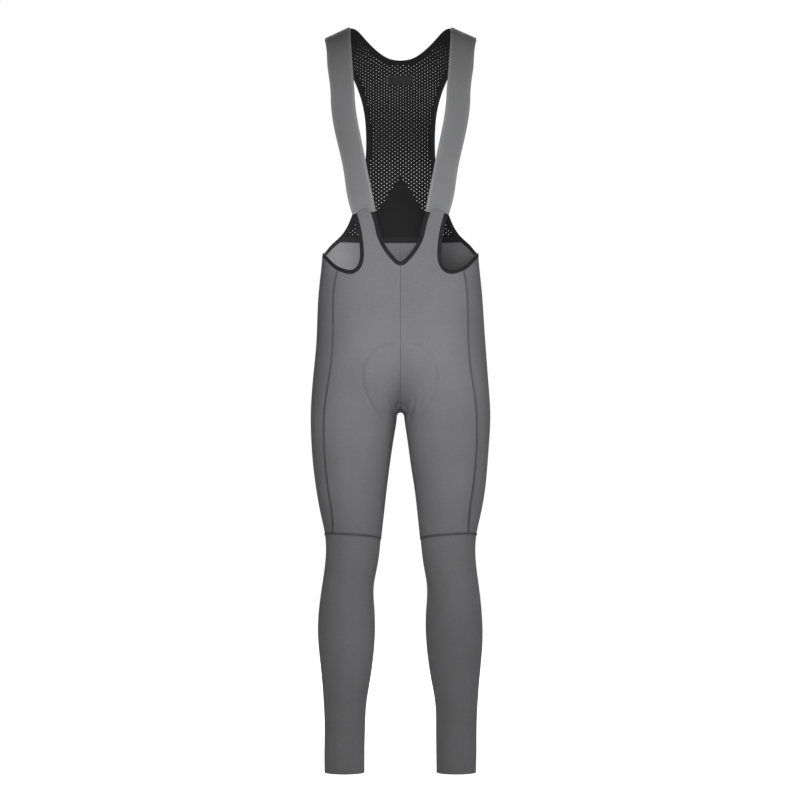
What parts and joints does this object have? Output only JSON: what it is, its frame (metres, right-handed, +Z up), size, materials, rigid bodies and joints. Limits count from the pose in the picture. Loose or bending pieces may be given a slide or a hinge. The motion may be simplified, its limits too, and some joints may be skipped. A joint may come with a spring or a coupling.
{
  "type": "cycling bib tights",
  "caption": "Long cycling bib tights in their hollow worn shape, with shaped legs, a seat pad, a perforated mesh back and wide elastic shoulder straps.",
  "frame": {"origin": "middle of the line across the wearer's shoulders on which both straps rest", "axes": "+Z up along the body, +X to the wearer's left, +Y to the wearer's back"},
  "size_m": [0.3452, 0.2223, 1.4316],
  "materials": {
    "shell": "grey brushed thermal knit",
    "elastic": "grey woven elastic",
    "dark": "near-black knit",
    "pad": "dark grey padded knit"
  },
  "bodies": {
    "root": {"front_left": "shell", "front_right": "shell", "side_left": "shell", "side_right": "shell", "back_left": "shell", "back_right": "shell", "lower_leg_left": "shell", "lower_leg_right": "shell", "back_mesh": "dark", "waist_tape": "dark", "neck_binding": "dark", "side_binding_left": "dark", "side_binding_right": "dark", "strap_left": "elastic", "strap_right": "elastic", "seat_pad": "pad", "label": "dark"}
  },
  "joints": []
}
